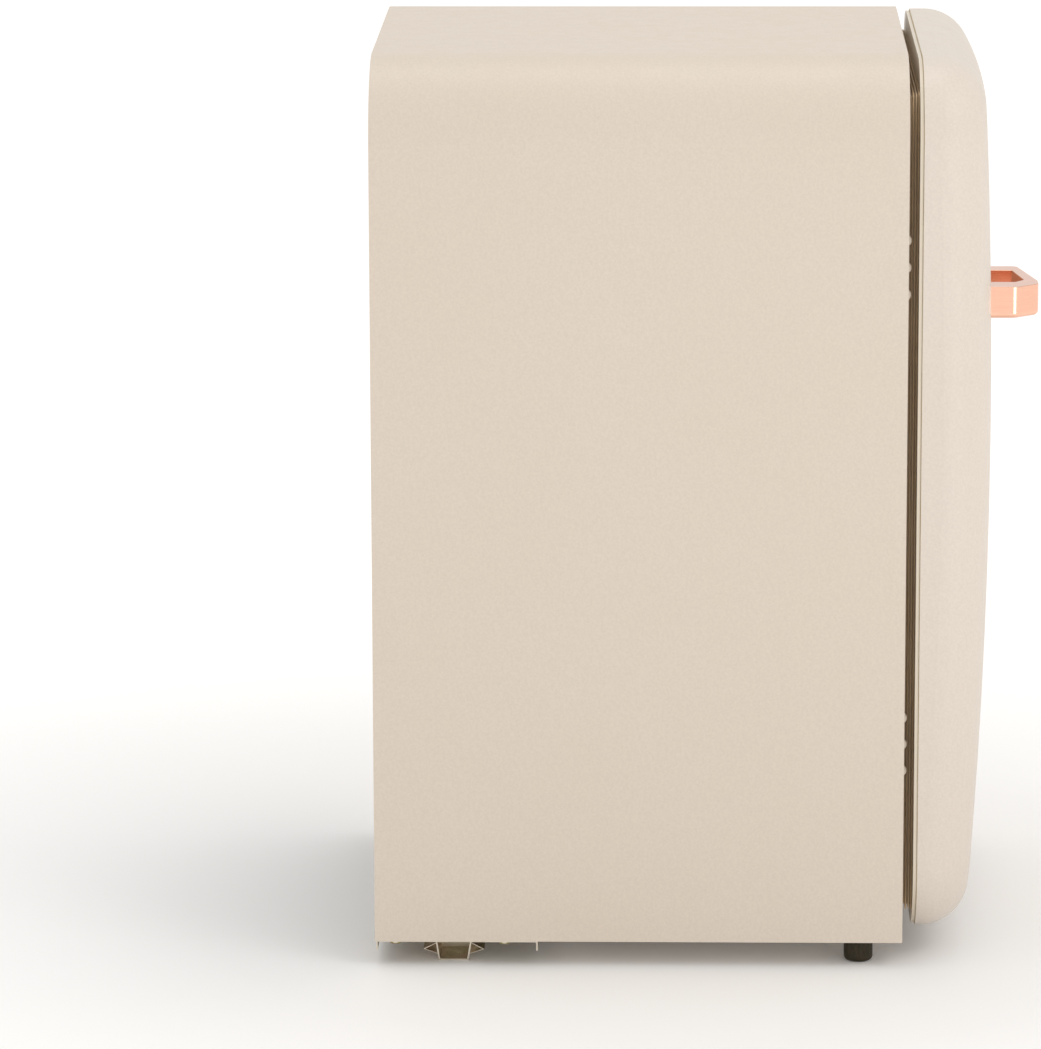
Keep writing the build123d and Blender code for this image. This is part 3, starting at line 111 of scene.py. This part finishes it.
# ---------------------------------------------------------------- material nodes
class Shader:
    """A small helper round one material's node tree."""

    def __init__(self, name):
        self.material = bpy.data.materials.new(name)
        self.material.use_nodes = True
        self.tree = self.material.node_tree
        self.bsdf = self.tree.nodes["Principled BSDF"]
        self.place = self.tree.nodes.new("ShaderNodeTexCoord").outputs["Object"]

    def new(self, kind, **settings):
        node = self.tree.nodes.new(kind)
        for key, value in settings.items():
            if hasattr(node, key):
                setattr(node, key, value)
            else:
                node.inputs[key.replace("_", " ").title()].default_value = value
        return node

    def link(self, output, socket):
        self.tree.links.new(output, socket)

    def stretched(self, scale):
        """Object coordinates scaled along each axis, for grain that runs one way."""
        mapping = self.new("ShaderNodeMapping")
        mapping.inputs["Scale"].default_value = scale
        self.link(self.place, mapping.inputs["Vector"])
        return mapping.outputs["Vector"]

    def noise(self, scale, detail=3.0, roughness=0.55, vector=None):
        node = self.new("ShaderNodeTexNoise", scale=scale, detail=detail, roughness=roughness)
        self.link(vector or self.place, node.inputs["Vector"])
        return node.outputs["Fac"]

    def cells(self, scale, output="Distance"):
        node = self.new("ShaderNodeTexVoronoi", scale=scale)
        self.link(self.place, node.inputs["Vector"])
        return node.outputs[output]

    def span(self, value, low, high, to_low=0.0, to_high=1.0):
        """Maps low..high of a value to another range and clamps it."""
        node = self.new("ShaderNodeMapRange")
        node.clamp = True
        limits = {"From Min": low, "From Max": high, "To Min": to_low, "To Max": to_high}
        for socket, number in limits.items():
            node.inputs[socket].default_value = number
        self.link(value, node.inputs["Value"])
        return node.outputs["Result"]

    def mix(self, factor, first, second):
        """A colour between two, each a colour tuple or another node's output."""
        node = self.new("ShaderNodeMix", data_type="RGBA")
        self.link(factor, node.inputs["Factor"])
        for socket, colour in zip(("A", "B"), (first, second)):
            target = [s for s in node.inputs if s.name == socket and s.type == "RGBA"][0]
            if isinstance(colour, (tuple, list)):
                target.default_value = (*colour[:3], 1.0)
            else:
                self.link(colour, target)
        return [s for s in node.outputs if s.type == "RGBA"][0]

    def colour(self, value):
        self.link(value, self.bsdf.inputs["Base Color"])

    def roughness(self, value):
        self.link(value, self.bsdf.inputs["Roughness"])

    def bump(self, height, distance, strength=1.0):
        """Adds relief of that depth in metres, on top of any relief already there."""
        node = self.new("ShaderNodeBump")
        node.inputs["Strength"].default_value = strength
        node.inputs["Distance"].default_value = distance
        self.link(height, node.inputs["Height"])
        earlier = self.bsdf.inputs["Normal"].links
        if earlier:
            self.link(earlier[0].from_socket, node.inputs["Normal"])
        self.link(node.outputs["Normal"], self.bsdf.inputs["Normal"])

    def constants(self, **values):
        for key, value in values.items():
            socket = self.bsdf.inputs[key.replace("_", " ").title().replace("Ior", "IOR")]
            socket.default_value = value


def shade(colour, factor):
    return tuple(min(1.0, c * factor) for c in colour[:3])


def satin_paint(name, colour):
    """Stove-enamelled sheet: even colour with a fine speckle and a slight orange peel."""
    s = Shader(name)
    s.constants(specular_ior_level=0.45, ior=1.5)
    grain = s.span(s.noise(430.0, 4.0, 0.7), 0.36, 0.64)
    speckled = s.mix(grain, shade(colour, 0.958), shade(colour, 1.036))
    warm = (colour[0] * 1.004, colour[1] * 0.995, colour[2] * 0.985)
    patches = s.span(s.noise(7.0, 4.0, 0.6), 0.35, 0.65)
    toned = s.mix(patches, speckled, s.mix(grain, shade(warm, 0.96), shade(warm, 1.032)))
    s.colour(toned)
    s.roughness(s.span(s.noise(60.0, 3.0), 0.35, 0.65, 0.40, 0.49))
    s.bump(s.noise(300.0, 2.0), 0.00006, 0.5)
    s.bump(s.noise(1300.0, 2.0), 0.00002, 0.5)
    return s.material


def brushed(name, colour, rough, scale, contrast=0.10, relief=0.00003, metallic=1.0):
    """Metal with fine lines that run along the axis with the smallest scale."""
    s = Shader(name)
    s.constants(metallic=metallic)
    lines = s.span(s.noise(1.0, 4.0, 0.6, s.stretched(scale)), 0.3, 0.7)
    s.colour(s.mix(lines, shade(colour, 1 - contrast), shade(colour, 1 + contrast)))
    wide = s.noise(25.0, 3.0)
    s.roughness(s.span(wide, 0.3, 0.7, rough * 0.85, rough * 1.2))
    s.bump(lines, relief, 0.6)
    return s.material


def galvanised(name, colour):
    """Hot-dip galvanised sheet with its spangle of flat zinc crystals."""
    s = Shader(name)
    s.constants(metallic=0.9)
    crystals = s.cells(85.0, output="Color")
    split = s.new("ShaderNodeSeparateColor")
    s.link(crystals, split.inputs["Color"])
    tone = s.mix(split.outputs["Red"], shade(colour, 0.84), shade(colour, 1.12))
    dulled = s.mix(s.span(s.noise(14.0, 4.0), 0.4, 0.7), tone, shade(colour, 0.93))
    s.colour(dulled)
    s.roughness(s.span(split.outputs["Green"], 0.0, 1.0, 0.34, 0.52))
    s.bump(s.noise(500.0, 3.0), 0.00003, 0.5)
    return s.material


def yellow_zinc(name, colour):
    """Zinc plate with the yellow chromate film that drifts towards green and pink."""
    s = Shader(name)
    s.constants(metallic=0.92)
    drift = s.span(s.noise(22.0, 3.0), 0.36, 0.64)
    other = s.span(s.noise(31.0, 2.0, 0.5, s.stretched((1.0, 1.6, 1.0))), 0.45, 0.7)
    greenish = (colour[0] * 0.86, colour[1] * 1.02, colour[2] * 0.95)
    pinkish = (colour[0] * 1.05, colour[1] * 0.86, colour[2] * 1.1)
    film = s.mix(other, s.mix(drift, colour, greenish), pinkish)
    worn = s.mix(s.span(s.noise(240.0, 4.0), 0.5, 0.8), film, shade(colour, 0.7))
    # faces that point along X, the sheared ends among them, are painted a lighter steel colour: bare
    # steel at the cuts, and painted highlight where these ends face the light
    split = s.new("ShaderNodeSeparateXYZ")
    s.link(s.tree.nodes.new("ShaderNodeTexCoord").outputs["Normal"], split.inputs["Vector"])
    sideways = s.new("ShaderNodeMath", operation="ABSOLUTE")
    s.link(split.outputs["X"], sideways.inputs[0])
    bare_ends_and_highlight = s.span(sideways.outputs["Value"], 0.90, 0.97)
    s.colour(s.mix(bare_ends_and_highlight, worn, s.mix(drift, (0.66, 0.60, 0.50), (0.74, 0.68, 0.58))))
    s.roughness(s.span(s.noise(120.0, 3.0), 0.3, 0.7, 0.27, 0.42))
    s.bump(s.noise(700.0, 2.0), 0.00002, 0.6)
    return s.material


def moulded(name, colour, rough, texture=900.0, relief=0.00002, drift=0.03, specular=0.5):
    """Moulded plastic or rubber with a fine tool texture and a faint flow of tone."""
    s = Shader(name)
    s.constants(specular_ior_level=specular)
    flow = s.span(s.noise(12.0, 4.0, 0.6), 0.35, 0.65)
    specks = s.span(s.noise(texture * 0.5, 3.0, 0.7), 0.35, 0.65)
    base = s.mix(flow, shade(colour, 1 - drift), shade(colour, 1 + drift))
    s.colour(s.mix(specks, base, s.mix(flow, shade(colour, 1 - 2 * drift), colour)))
    s.roughness(s.span(s.noise(70.0, 3.0), 0.3, 0.7, rough * 0.88, rough * 1.14))
    s.bump(s.noise(texture, 2.0), relief, 0.7)
    return s.material


def clear(name, colour, rough, transmission, ior):
    """Clear plastic or glass with faint handling marks in its gloss."""
    s = Shader(name)
    s.constants(transmission_weight=transmission, ior=ior)
    haze = s.span(s.noise(45.0, 4.0, 0.65), 0.4, 0.75)
    s.colour(s.mix(haze, colour, shade(colour, 0.97)))
    s.roughness(s.span(s.noise(160.0, 4.0), 0.4, 0.75, rough, rough * 2.2))
    s.bump(s.noise(18.0, 2.0), 0.00008, 0.15)
    return s.material


def copper(name, colour):
    """Drawn copper tube, bright in places and browned where it was handled."""
    s = Shader(name)
    s.constants(metallic=1.0)
    tarnish = s.span(s.noise(38.0, 5.0, 0.65), 0.42, 0.68)
    browned = (colour[0] * 0.55, colour[1] * 0.5, colour[2] * 0.55)
    s.colour(s.mix(tarnish, colour, browned))
    s.roughness(s.span(s.noise(90.0, 4.0), 0.3, 0.7, 0.24, 0.46))
    s.bump(s.noise(600.0, 3.0), 0.00002, 0.6)
    return s.material


def enamel_black(name, colour):
    """Sprayed black enamel over a pressed and welded can."""
    s = Shader(name)
    s.constants(coat_weight=0.35, coat_roughness=0.12)
    dust = s.span(s.noise(150.0, 5.0, 0.7), 0.52, 0.8)
    s.colour(s.mix(dust, colour, (0.05, 0.05, 0.048)))
    s.roughness(s.span(s.noise(50.0, 3.0), 0.3, 0.7, 0.3, 0.45))
    s.bump(s.noise(210.0, 2.0), 0.0001, 0.5)
    return s.material


def foam(name, colour):
    """Poured polyurethane foam: small open cells with a skin that browns."""
    s = Shader(name)
    cells = s.cells(900.0)
    brown = (colour[0] * 0.85, colour[1] * 0.7, colour[2] * 0.5)
    aged = s.mix(s.span(s.noise(20.0, 4.0), 0.4, 0.7), colour, brown)
    # the cell hollows, which the bump sinks, are painted darker: painted shade in the pores
    s.colour(s.mix(s.span(cells, 0.1, 0.6), shade(colour, 0.75), aged))
    s.roughness(s.span(s.noise(40.0), 0.3, 0.7, 0.85, 0.95))
    s.bump(cells, 0.0004, 0.7)
    return s.material


def circuit_board(name, colour):
    """White solder mask with faint tracks under it."""
    s = Shader(name)
    tracks = s.span(s.noise(1.0, 2.0, 0.5, s.stretched((10.0, 90.0, 520.0))), 0.48, 0.52)
    s.colour(s.mix(tracks, colour, shade(colour, 0.86)))
    s.roughness(s.span(s.noise(90.0), 0.3, 0.7, 0.35, 0.5))
    s.bump(tracks, 0.00005, 0.6)
    return s.material


CREAM = (0.668, 0.585, 0.495)
DOOR_CREAM = (0.686, 0.614, 0.540)
ROSE = (0.90, 0.525, 0.385)

LOOKS = {
    "cabinet_paint": lambda n: satin_paint(n, CREAM),
    "door_paint": lambda n: satin_paint(n, DOOR_CREAM),
    "plug_plastic": lambda n: moulded(n, (0.70, 0.62, 0.53), 0.38),
    "galvanised_sheet": lambda n: galvanised(n, (0.62, 0.63, 0.62)),
    "zinc_plate": lambda n: yellow_zinc(n, (0.47, 0.37, 0.19)),
    "black_paint": lambda n: enamel_black(n, (0.012, 0.012, 0.013)),
    "steel_fixings": lambda n: brushed(n, (0.62, 0.61, 0.59), 0.3, (300.0, 300.0, 900.0)),
    "hinge_plate": lambda n: brushed(n, (0.66, 0.65, 0.62), 0.32, (700.0, 700.0, 30.0)),
    "liner_plastic": lambda n: moulded(n, (0.80, 0.80, 0.785), 0.27, 500.0, 0.00003, 0.012),
    "door_liner_plastic": lambda n: moulded(n, (0.70, 0.62, 0.50), 0.33, 500.0, 0.00003, 0.015),
    "insulation_foam": lambda n: foam(n, (0.74, 0.64, 0.45)),
    "copper_tube": lambda n: copper(n, (0.80, 0.42, 0.28)),
    "evaporator_aluminium": lambda n: brushed(n, (0.78, 0.79, 0.80), 0.36, (20.0, 500.0, 500.0), 0.06),
    "shelf_glass": lambda n: clear(n, (0.90, 0.98, 0.95), 0.015, 1.0, 1.5),
    "trim_plastic": lambda n: moulded(n, (0.77, 0.77, 0.755), 0.3, 700.0, 0.00002, 0.012),
    "clear_plastic": lambda n: clear(n, (0.93, 0.965, 0.975), 0.05, 0.92, 1.5),
    "lens_plastic": lambda n: clear(n, (0.93, 0.93, 0.91), 0.28, 0.75, 1.5),
    "knob_plastic": lambda n: moulded(n, (0.27, 0.275, 0.285), 0.45, 1100.0),
    "board": lambda n: circuit_board(n, (0.72, 0.74, 0.71)),
    "black_plastic": lambda n: moulded(n, (0.025, 0.025, 0.026), 0.48, 800.0, 0.00004, 0.1),
    "grommet_rubber": lambda n: moulded(n, (0.022, 0.022, 0.022), 0.7, 600.0, 0.00004, 0.12, 0.35),
    "gasket_rubber": lambda n: moulded(n, (0.50, 0.375, 0.24), 0.5, 420.0, 0.00005, 0.05, 0.4),
    "foot_plastic": lambda n: moulded(n, (0.035, 0.026, 0.011), 0.5, 700.0, 0.00005, 0.12, 0.3),
    "rose_gold": lambda n: brushed(n, ROSE, 0.15, (60.0, 60.0, 1500.0), 0.05, 0.00001),
}


def dress_frame():
    """Gives every CAD node its slot's finished material."""
    finished = {name: make(name + "_finish") for name, make in LOOKS.items()}
    for part in frame["record"]["subparts"]:
        mesh = nodes[part["node"]].data
        finish = finished[part["material_slot"]]
        if not mesh.materials:
            mesh.materials.append(finish)
        for index in range(len(mesh.materials)):
            mesh.materials[index] = finish
    return finished


# ---------------------------------------------------------------- fine pieces
def mesh_object(name, body, slot_name, bm, finished, sharp=35.0):
    """Turns a bmesh into a piece that rides on a body and wears a slot's material."""
    bmesh.ops.recalc_face_normals(bm, faces=bm.faces)
    data = bpy.data.meshes.new(name)
    bm.to_mesh(data)
    bm.free()
    data.shade_smooth()
    data.set_sharp_from_angle(angle=math.radians(sharp))
    data.materials.append(finished[slot_name])
    piece = bpy.data.objects.new(name, data)
    bpy.context.scene.collection.objects.link(piece)
    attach(piece, body)
    return piece


GASKET_WIDTH = 14.0 * MM
GROOVE = 4.6 * MM  # how deep the bellows' grooves cut in
# each rib's middle and half thickness as shares of the seal's depth, and its inset in mm
RIBS = ((0.32, 0.10, 0.3), (0.62, 0.11, 0.9), (0.90, 0.10, 0.0))
RIB_FULLNESS = 0.6  # below 1 the ribs are squarer than a half round
RIB_STEPS = 8
SIDE_STEPS = 40
SWAY = 0.18 * MM  # a soft seal never lies quite straight between its corners


def gasket_profile(depth):
    """Half of the section, from the cabinet's side to the door's: (inset from outside, depth)."""
    points = [(GROOVE, 0.0)]
    for middle, half, inset in RIBS:
        for step in range(RIB_STEPS + 1):
            angle = math.pi * step / RIB_STEPS
            along = middle - half * math.cos(angle)
            reach = math.sin(angle) ** RIB_FULLNESS
            points.append((GROOVE - (GROOVE - inset * MM) * reach, along * depth))
    points.append((GROOVE, depth))
    return points


def door_seal(finished):
    """The door gasket: a mitred frame with a ribbed bellows on both flanks."""
    low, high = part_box("door_gasket")
    depth = high.y - low.y
    outer = gasket_profile(depth)
    section = outer + [(GASKET_WIDTH - inset, along) for inset, along in reversed(outer)]
    half_x = (high.x - low.x) / 2
    bm = bmesh.new()
    rings = []
    for inset, along in section:
        x, z0, z1 = half_x - inset, low.z + inset, high.z - inset
        corners = [Vector((-x, 0, z0)), Vector((x, 0, z0)), Vector((x, 0, z1)), Vector((-x, 0, z1))]
        ring = []
        for index, corner in enumerate(corners):
            following = corners[(index + 1) % 4]
            for step in range(SIDE_STEPS):
                share = step / SIDE_STEPS
                point = corner.lerp(following, share)
                calm = math.sin(math.pi * share) ** 0.5
                wave = math.sin(19 * share + 2.1 * index) * math.sin(7 * share + index)
                sway = SWAY * calm * wave
                sideways = Vector((0, 0, sway)) if index % 2 == 0 else Vector((sway, 0, 0))
                point = point + sideways
                point.y = high.y - along
                ring.append(bm.verts.new(point))
        rings.append(ring)
    count = len(rings[0])
    for index, ring in enumerate(rings):
        following = rings[(index + 1) % len(rings)]
        for step in range(count):
            after = (step + 1) % count
            bm.faces.new((ring[step], ring[after], following[after], following[step]))
    seal = mesh_object("door_seal", "door", "gasket_rubber", bm, finished, 50.0)
    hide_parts("door_gasket")


DIAL_NUMBERS = 6
DIAL_SWEEP = 270.0  # degrees from the first number to the last
DIAL_RADIUS = 20.6 * MM
DIGIT_SIZE = 5.2 * MM
DIGIT_RISE = 0.12 * MM


def dial_marks(finished):
    """Raised numbers on the thermostat box round its knob."""
    low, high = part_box("thermostat_knob")
    box_low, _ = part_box("thermostat_housing")
    middle = (low + high) / 2
    bm = bmesh.new()
    for number in range(DIAL_NUMBERS):
        angle = math.radians(DIAL_SWEEP * (number / (DIAL_NUMBERS - 1) - 0.5))
        aside = Vector((0, -math.sin(angle), math.cos(angle)))
        curve = bpy.data.curves.new("digit", "FONT")
        curve.body = str(number)
        curve.size = DIGIT_SIZE
        curve.extrude = DIGIT_RISE
        curve.align_x = "CENTER"
        curve.align_y = "CENTER"
        holder = bpy.data.objects.new("digit", curve)
        bpy.context.scene.collection.objects.link(holder)
        digit = bpy.data.meshes.new_from_object(holder)
        bpy.data.objects.remove(holder)
        centre = Vector((box_low.x, middle.y, middle.z)) + aside * DIAL_RADIUS
        facing = Matrix(((0, 0, -1), (-1, 0, 0), (0, 1, 0))).to_4x4()
        digit.transform(Matrix.Translation(centre) @ facing)
        bm.from_mesh(digit)
        bpy.data.meshes.remove(digit)
    mesh_object("dial_numbers", "cabinet", "knob_plastic", bm, finished)


# ---------------------------------------------------------------- studio
FLOOR_GLOW_START = 0.5  # metres from the fridge's middle
FLOOR_GLOW_END = 1.5
FLOOR_GLOW_NEAR = 0.05
FLOOR_GLOW_FAR = 0.28
FLOOR_REACH = 22.0
FLOOR_TONES = ((0.885, 0.880, 0.872), (0.895, 0.890, 0.884))
SKY_STRENGTH = 0.86
# name, place, diameter and power of each soft round light
LIGHTS = (
    ("KeyLight", (-1.7, -2.0, 3.2), 1.6, 14.0),
    ("TopLight", (0.3, 0.0, 3.4), 1.8, 14.0),
    ("LowFill", (-2.4, -1.4, 0.3), 1.2, 8.0),
)
LIGHT_AIM = Vector((0, 0, 0.2))


def studio():
    """A pale floor with a painted glow that grows away from the fridge, under an even white sky, with
    three large soft lights.
    """
    bm = bmesh.new()
    signs = ((-1, -1), (1, -1), (1, 1), (-1, 1))
    corners = [bm.verts.new((x * FLOOR_REACH, y * FLOOR_REACH, 0.0)) for x, y in signs]
    bm.faces.new(corners)
    data = bpy.data.meshes.new("StudioFloor")
    bm.to_mesh(data)
    bm.free()
    s = Shader("studio_floor")
    s.constants(specular_ior_level=0.1)
    s.colour(s.mix(s.noise(3.0, 3.0), *FLOOR_TONES))
    s.roughness(s.span(s.noise(30.0), 0.3, 0.7, 0.85, 0.95))
    # painted light: the floor glows, weakly near the fridge and more strongly away from it, so it
    # brightens to plain white away from the fridge
    away = s.new("ShaderNodeVectorMath", operation="LENGTH")
    s.link(s.place, away.inputs[0])
    distance = away.outputs["Value"]
    glow = s.span(distance, FLOOR_GLOW_START, FLOOR_GLOW_END, FLOOR_GLOW_NEAR, FLOOR_GLOW_FAR)
    s.link(glow, s.bsdf.inputs["Emission Strength"])
    s.bsdf.inputs["Emission Color"].default_value = (1.0, 0.99, 0.98, 1.0)
    data.materials.append(s.material)
    floor = bpy.data.objects.new("StudioFloor", data)
    bpy.context.scene.collection.objects.link(floor)

    world = bpy.data.worlds.new("Studio")
    world.use_nodes = True
    sky = world.node_tree.nodes["Background"]
    sky.inputs["Color"].default_value = (1.0, 0.995, 0.985, 1.0)
    sky.inputs["Strength"].default_value = SKY_STRENGTH
    bpy.context.scene.world = world

    for name, place, size, power in LIGHTS:
        light = bpy.data.lights.new(name, "AREA")
        light.shape = "DISK"
        light.size = size
        light.energy = power
        light.color = (1.0, 0.985, 0.96)
        lamp = bpy.data.objects.new(name, light)
        lamp.location = place
        aim = LIGHT_AIM - Vector(place)
        lamp.rotation_euler = aim.to_track_quat("-Z", "Y").to_euler()
        bpy.context.scene.collection.objects.link(lamp)

    view = bpy.context.scene.view_settings
    view.view_transform = "Standard"
    view.look = "None"
    view.exposure = 0.0
    view.gamma = 1.0


photo_camera()
materials = dress_frame()
door_seal(materials)
dial_marks(materials)
studio()
